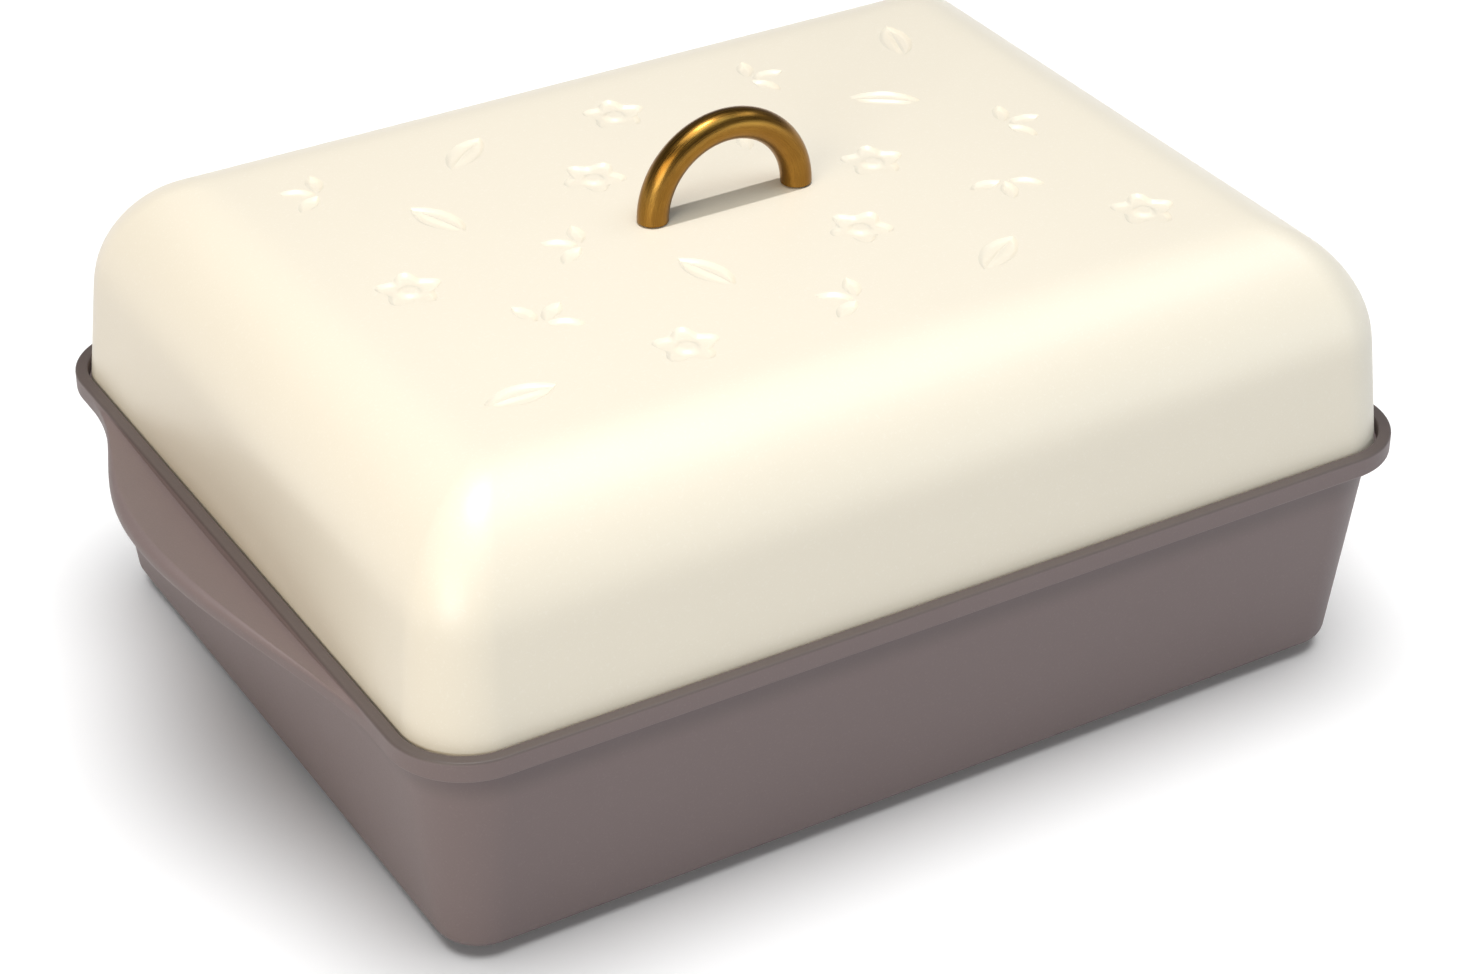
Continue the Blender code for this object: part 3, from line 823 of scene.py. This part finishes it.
def leafOutline(halfLength, halfWidth):
    arc = (halfLength ** 2 + halfWidth ** 2) / (2 * halfWidth)
    offset = arc - halfWidth

    def radiusAt(turn):
        return math.sqrt(arc ** 2 - (offset * math.cos(turn)) ** 2) - offset * abs(math.sin(turn))
    return radiusAt


def blossomOutline(turn):
    depth = relief["petalDepth"]
    return relief["blossomRadius"] * (1 - depth + depth * math.cos(relief["petals"] * turn))


def noRise(x, y):
    return 0.0


def veinRise(x, y):
    fade = max(0.0, 1 - (abs(x) / relief["leafHalfLength"]) ** 2)
    return relief["veinRise"] * fade * math.exp(-(y / relief["veinWidth"]) ** 2)


def islandRise(x, y):
    out = (math.hypot(x, y) - relief["islandFlat"]) / (relief["islandRadius"] - relief["islandFlat"])
    share = min(max(out, 0.0), 1.0)
    return relief["islandRise"] * (1 - share * share * (3 - 2 * share))


def sinkPocket(bm, radiusAt, riseAt, place, heading):
    turns = [2 * math.pi * step / relief["outlineSteps"] for step in range(relief["outlineSteps"])]
    outline = [radiusAt(turn) for turn in turns]
    rotation = Matrix.Rotation(heading, 4, "Z")
    slope = min(relief["slopeWidth"], relief["slopeShare"] * min(outline))
    rows = [(outline, None)]
    for step in range(relief["slopeSteps"] + 1):
        share = step / relief["slopeSteps"]
        rows.append(([radius - slope * share for radius in outline], math.sin(share * math.pi / 2)))
    for step in range(1, relief["innerSteps"]):
        left = 1 - step / relief["innerSteps"]
        rows.append(([(radius - slope) * left for radius in outline], 1.0))
    centre = Vector((*place, lidHigh.z))
    rings = []
    for radii, sunk in rows:
        ring = []
        for turn, radius in zip(turns, radii):
            x, y = radius * math.cos(turn), radius * math.sin(turn)
            height = relief["above"] if sunk is None else (riseAt(x, y) - relief["depth"]) * sunk
            ring.append(centre + rotation @ Vector((x, y, height)))
        rings.append(ring)
    loftInto(bm, rings)


def sinkMotif(bm, motif, place, heading):
    if motif == "leaf":
        radiusAt = leafOutline(relief["leafHalfLength"], relief["leafHalfWidth"])
        sinkPocket(bm, radiusAt, veinRise, place, heading)
    elif motif == "blossom":
        sinkPocket(bm, blossomOutline, islandRise, place, heading)
    else:
        radiusAt = leafOutline(relief["budHalfLength"], relief["budHalfWidth"])
        reach, shift = relief["budReach"], relief["sprigShift"]
        for number in (-1, 0, 1):
            lean = heading + number * relief["budSpread"]
            x = place[0] + reach * (math.cos(lean) - shift * math.cos(heading))
            y = place[1] + reach * (math.sin(lean) - shift * math.sin(heading))
            sinkPocket(bm, radiusAt, noRise, (x, y), lean)


def motifCutters():
    bm = bmesh.new()
    for row in range(relief["rowCount"]):
        count = relief["longRowCount"] - row % 2
        y = (row - (relief["rowCount"] - 1) / 2) * relief["rowSpacing"]
        for column in range(count):
            x = (column - (count - 1) / 2) * relief["columnSpacing"]
            if abs(x) < relief["handleRoom"] and abs(y) < relief["rowSpacing"] / 2:
                continue
            motif = relief["motifs"][(column + 2 * row) % len(relief["motifs"])]
            heading = math.radians(relief["rowTurn"] * row + relief["columnTurn"] * column)
            sinkMotif(bm, motif, (x, y), heading)
    return bm


cutAway(lidShell, motifCutters(), lid["cutSharpAngle"])
evenNormals(lidShell)
print("motifs sunk")

# Screws, washers and seals under the lid
fasteners = {
    "screwRadius": 0.0025,
    "screwChamfer": 0.0006,
    "socketWidth": 0.0034,           # across the flats
    "socketDepth": 0.0016,
    "headEdge": 0.0016,
    "headGap": 0.0003,               # between the head and its washer
    "washerEdge": 0.00015,
    "sealEdge": 0.0005,
    "boreRadius": 0.0028,
    "sides": 48,
    "edgeSteps": 4,
    "washerSharpAngle": 50.0,
    "screwSharpAngle": 30.0,
}
steelFinish = {
    "colour": (0.60, 0.59, 0.57),
    "tarnishColour": (0.42, 0.40, 0.37),
    "tarnish": 0.30,
    "lineScale": 3000.0,
    "lineStretch": 1.0,
    "lineDepth": 0.000004,
    "roughness": 0.30,
}
sealFinish = {
    "colour": (0.62, 0.57, 0.50),
    "fleckColour": (0.54, 0.50, 0.44),
    "fleckShare": 0.20,
    "mottling": 0.08,
    "grainScale": 2400.0,
    "grainDepth": 0.000012,
    "peelDepth": 0.000015,
    "roughness": 0.62,
    "specular": 0.40,
}
steelMaterial = metalMaterial("stainlessSteel", steelFinish)
sealMaterial = coatedMaterial("sealSilicone", sealFinish)


def buildWasher(node, name, slotName, edge, material):
    low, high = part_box(node)
    outer = (high.y - low.y) / 2
    thickness = high.z - low.z
    rounding = quarterRound(edge, fasteners["edgeSteps"])
    bore = fasteners["boreRadius"]
    profile = [(outer - back, up) for back, up in reversed(rounding)]
    profile += [(outer - back, thickness - down) for back, down in rounding]
    profile += [(bore + back, thickness - down) for back, down in reversed(rounding)]
    profile += [(bore + back, up) for back, up in rounding]
    bm = turned(profile, fasteners["sides"])
    bmesh.ops.translate(bm, verts=bm.verts, vec=((low.x + high.x) / 2, 0.0, low.z))
    addPiece(bm, name, "lid", slotName, material, node, sharpAngle=fasteners["washerSharpAngle"])


def buildScrew(node, name, headTop, material):
    low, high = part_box(node)
    head = (high.y - low.y) / 2
    shank = fasteners["screwRadius"]
    chamfer = fasteners["screwChamfer"]
    rounding = quarterRound(fasteners["headEdge"], 2 * fasteners["edgeSteps"])
    profile = [(0.0, high.z), (shank - chamfer, high.z), (shank, high.z - chamfer)]
    profile += [(shank, headTop), (head, headTop)]
    profile += [(head - back, low.z + up) for back, up in rounding]
    profile.append((0.0, low.z))
    bm = turned(profile, fasteners["sides"])
    x = (low.x + high.x) / 2
    bmesh.ops.translate(bm, verts=bm.verts, vec=(x, 0.0, 0.0))
    made = addPiece(bm, name, "lid", "fastener_steel", material, node,
                    sharpAngle=fasteners["screwSharpAngle"])
    socket = bmesh.new()
    acrossCorners = fasteners["socketWidth"] / math.sqrt(3)
    cone = bmesh.ops.create_cone(socket, cap_ends=True, segments=6, radius1=acrossCorners,
                                 radius2=acrossCorners, depth=2 * fasteners["socketDepth"])
    bmesh.ops.translate(socket, verts=cone["verts"], vec=(x, 0.0, low.z))
    cutAway(made, socket, fasteners["screwSharpAngle"])


for side, _ in footPlaces:
    buildWasher("seal_washer_" + side, "seal_ring_" + side, "seal_silicone", fasteners["sealEdge"],
                sealMaterial)
    buildWasher("screw_washer_" + side, "steel_washer_" + side, "fastener_steel", fasteners["washerEdge"],
                steelMaterial)
    washerLow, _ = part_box("screw_washer_" + side)
    buildScrew("handle_screw_" + side, "screw_" + side, washerLow.z - fasteners["headGap"], steelMaterial)
print("fasteners made")

# Camera, at the photograph's angle
view = {
    "place": (-0.50729, -0.84779, 0.68025),
    "pitch": math.radians(32.615),   # down from level
    "yaw": math.radians(31.006),     # to the right of straight ahead
    "roll": math.radians(0.212),
    "lens": 86.254,
    "sensor": 36.0,
}
cameraData = bpy.data.cameras.new("photoCamera")
cameraData.lens = view["lens"]
cameraData.sensor_width = view["sensor"]
camera = bpy.data.objects.new("photoCamera", cameraData)
turn = Matrix.Rotation(-view["yaw"], 4, "Z") @ Matrix.Rotation(math.pi / 2 - view["pitch"], 4, "X")
camera.matrix_world = Matrix.Translation(view["place"]) @ turn @ Matrix.Rotation(view["roll"], 4, "Z")
bpy.context.scene.collection.objects.link(camera)
bpy.context.scene.camera = camera

# Floor
floorLook = {
    "halfSize": 6.0,
    "seenColour": (0.96, 0.96, 0.96),
    "bounceColour": (0.62, 0.62, 0.62),
    "seenGlow": 0.07,                # keeps the deepest contact shadow grey
    "roughness": 0.9,
}
bm = bmesh.new()
bmesh.ops.create_grid(bm, x_segments=1, y_segments=1, size=floorLook["halfSize"])
floorMesh = bpy.data.meshes.new("floor")
bm.to_mesh(floorMesh)
bm.free()
floor = bpy.data.objects.new("floor", floorMesh)
bpy.context.scene.collection.objects.link(floor)


def seenRays(tree):                  # 1 for rays from the camera and for mirror-like and clear ones
    path = addNode(tree, "ShaderNodeLightPath", (-4, 0))
    seen = addMath(tree, "MAXIMUM", path.outputs["Is Camera Ray"], path.outputs["Is Glossy Ray"], (-3, 0))
    return addMath(tree, "MAXIMUM", seen, path.outputs["Is Transmission Ray"], (-2, 0))


floorMaterial, floorTree, floorShader = newMaterial("whiteFloor", {"Roughness": floorLook["roughness"],
                                                                   "Specular IOR Level": 0.0})
floorSeen = seenRays(floorTree)
feed(floorTree, floorShader.inputs["Base Color"],
     addMix(floorTree, "MIX", floorSeen, (*floorLook["bounceColour"], 1.0), (*floorLook["seenColour"], 1.0),
            (-1, 0)))
feed(floorTree, floorShader.inputs["Emission Color"], (1.0, 1.0, 1.0, 1.0))
feed(floorTree, floorShader.inputs["Emission Strength"],
     addMath(floorTree, "MULTIPLY", floorSeen, floorLook["seenGlow"], (-1, 1)))
floorMesh.materials.append(floorMaterial)

# Light
light = {
    "worldLow": 0.23,                # at the horizon
    "worldHigh": 0.09,               # from the height whose sine is worldTop
    "worldTop": 0.8,
    "backdropTop": 0.15,             # sine of the height to which metal and glass see a white backdrop
    "keyLevel": 0.50,                # of a white surface that faces the lamp
    "keyAngle": math.radians(1.2),
    "washLevel": 1.05,
    "washAngle": math.radians(56),
    "target": (0.0, 0.0, 0.09),
}
panels = {                           # azimuth, elevation, distance, level, size, colour
    "frontHigh": (-70, 67, 2.0, 0.16, (1.40, 0.70), (0.75, 0.92, 1.0)),
    "rightHigh": (-10, 48, 2.0, 0.08, (0.80, 0.55), (0.95, 0.98, 1.0)),
    "leftHigh": (-152, 80, 0.6, 0.24, (0.31, 0.31), (1.0, 0.98, 0.95)),
    "leftLow": (206, 31, 1.9, 0.26, (1.30, 0.60), (1.0, 0.82, 0.52)),
    "nearLow": (-143, 15, 2.0, 0.25, (1.00, 0.50), (0.91, 0.97, 1.0)),
    "rightLow": (-50, 9, 1.3, 0.10, (0.80, 0.40), (0.84, 0.96, 1.0)),
}
world = bpy.data.worlds.new("studio")
bpy.context.scene.world = world
world.use_nodes = True
worldTree = world.node_tree
background = worldTree.nodes["Background"]
background.inputs["Color"].default_value = (1.0, 1.0, 1.0, 1.0)
direction = addNode(worldTree, "ShaderNodeTexCoord", (-4, 0))
parts = addNode(worldTree, "ShaderNodeSeparateXYZ", (-3, 0))
feed(worldTree, parts.inputs[0], direction.outputs["Generated"])
sky = addRange(worldTree, parts.outputs["Z"], 0.0, light["worldTop"], light["worldLow"], light["worldHigh"],
               (-2, 0))
rays = addNode(worldTree, "ShaderNodeLightPath", (-4, 2))         # white past the floor's far edge
mirrored = addMath(worldTree, "MAXIMUM", rays.outputs["Is Glossy Ray"],
                   rays.outputs["Is Transmission Ray"], (-3, 2))
backdrop = addRange(worldTree, parts.outputs["Z"], 0.0, light["backdropTop"], 1.0, 0.0, (-2, 1))
white = addMath(worldTree, "MULTIPLY", mirrored, backdrop, (-2, 2))
white = addMath(worldTree, "MAXIMUM", white, rays.outputs["Is Camera Ray"], (-1, 1))
feed(worldTree, background.inputs["Strength"], addMath(worldTree, "MAXIMUM", sky, white, (0, 0)))


def limitReach(lamp, state):         # INCLUDE: lights the floor alone; EXCLUDE: all but the floor
    group = bpy.data.collections.new(lamp.name + "Reach")
    group.objects.link(floor)
    lamp.light_linking.receiver_collection = group
    group.collection_objects[0].light_linking.link_state = state


def addPanel(name, azimuth, elevation, distance, level, size, colour):
    data = bpy.data.lights.new(name, "AREA")
    data.shape = "RECTANGLE"
    data.size, data.size_y = size
    data.color = colour
    data.energy = level * (math.pi * distance) ** 2
    lamp = bpy.data.objects.new(name, data)
    around, up = math.radians(azimuth), math.radians(elevation)
    away = Vector((math.cos(up) * math.cos(around), math.cos(up) * math.sin(around), math.sin(up)))
    lamp.location = Vector(light["target"]) + distance * away
    lamp.rotation_euler = away.to_track_quat("Z", "Y").to_euler()
    lamp.visible_camera = False
    bpy.context.scene.collection.objects.link(lamp)
    return lamp


def addOverhead(name, level, angle):
    data = bpy.data.lights.new(name, "SUN")
    data.angle = angle
    data.energy = level * math.pi
    lamp = bpy.data.objects.new(name, data)
    bpy.context.scene.collection.objects.link(lamp)
    return lamp


limitReach(addOverhead("floorWash", light["washLevel"], light["washAngle"]), "INCLUDE")
lamps = [addOverhead("keyLamp", light["keyLevel"], light["keyAngle"])]
for name, values in panels.items():
    lamps.append(addPanel(name, *values))
for lamp in lamps:
    limitReach(lamp, "EXCLUDE")
print("camera, floor and light made")

bpy.context.scene.view_settings.view_transform = "Standard"
